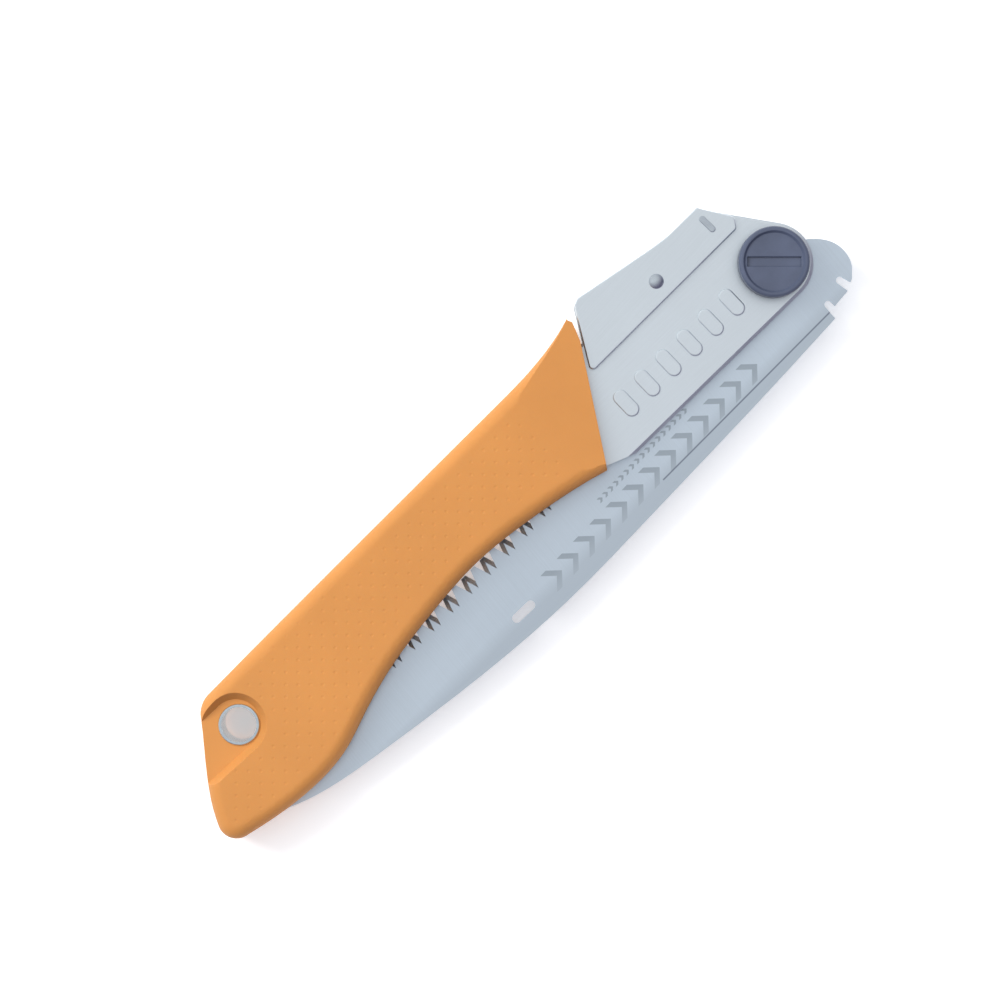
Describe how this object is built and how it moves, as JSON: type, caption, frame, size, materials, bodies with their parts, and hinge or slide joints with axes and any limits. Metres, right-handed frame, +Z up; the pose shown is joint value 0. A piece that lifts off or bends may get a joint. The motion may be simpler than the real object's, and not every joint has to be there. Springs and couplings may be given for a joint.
{
  "type": "folding pruning saw",
  "caption": "Folding pruning saw with a curved blade, steel side plates, rubber grip, sprung lock lever and slotted pivot knob.",
  "frame": {"origin": "bottom centre of the folded saw's box, lying on its back face", "axes": "+X from the grip's tail to the pivot knob, +Y from the blade's back to the lock lever, +Z up out of the knob's face"},
  "size_m": [0.2332, 0.0582, 0.0196],
  "materials": {
    "blade_steel": "ground satin",
    "frame_steel": "satin nickel plate",
    "rivet_steel": "satin",
    "eyelet_steel": "bright",
    "black_steel": "black oxide",
    "spring_steel": "satin",
    "brass": "machined",
    "white_nylon": "matt",
    "black_plastic": "moulded satin",
    "grip_rubber": "dotted matt"
  },
  "bodies": {
    "handle": {"back_friction_washer": "white_nylon", "back_side_plate": "frame_steel", "blade_rest": "black_plastic", "blade_rest_rivet": "rivet_steel", "front_friction_washer": "white_nylon", "front_side_plate": "frame_steel", "knob_spring_washer": "spring_steel", "lanyard_eyelet": "eyelet_steel", "lever_spacer": "rivet_steel", "lever_spring": "spring_steel", "pivot_bolt": "black_steel", "pivot_bush": "brass", "rubber_grip": "grip_rubber", "spine_rivets": "rivet_steel", "spine_strip": "frame_steel", "spring_pin": "rivet_steel"},
    "blade": {"blade": "blade_steel"},
    "lock_lever": {"lock_lever": "frame_steel", "lock_bar": "rivet_steel", "lever_rivet": "rivet_steel"},
    "knob": {"knob_nut": "black_plastic", "knob_insert": "brass"}
  },
  "joints": [
    {"name": "blade_fold", "type": "hinge", "parent": "handle", "child": "blade", "pos_m": [0.09971, -0.00087, 0.0095], "axis": [0, 0, 1], "range_deg": [0, 186]},
    {"name": "lever_rock", "type": "hinge", "parent": "handle", "child": "lock_lever", "pos_m": [0.07311, 0.01753, 0.0095], "axis": [0, 0, 1], "range_deg": [-9.3, 4], "stiffness_Nm_per_rad": 0.5},
    {"name": "knob_turn", "type": "hinge", "parent": "handle", "child": "knob", "pos_m": [0.09971, -0.00087, 0.0095], "axis": [0, 0, 1], "continuous": true}
  ]
}
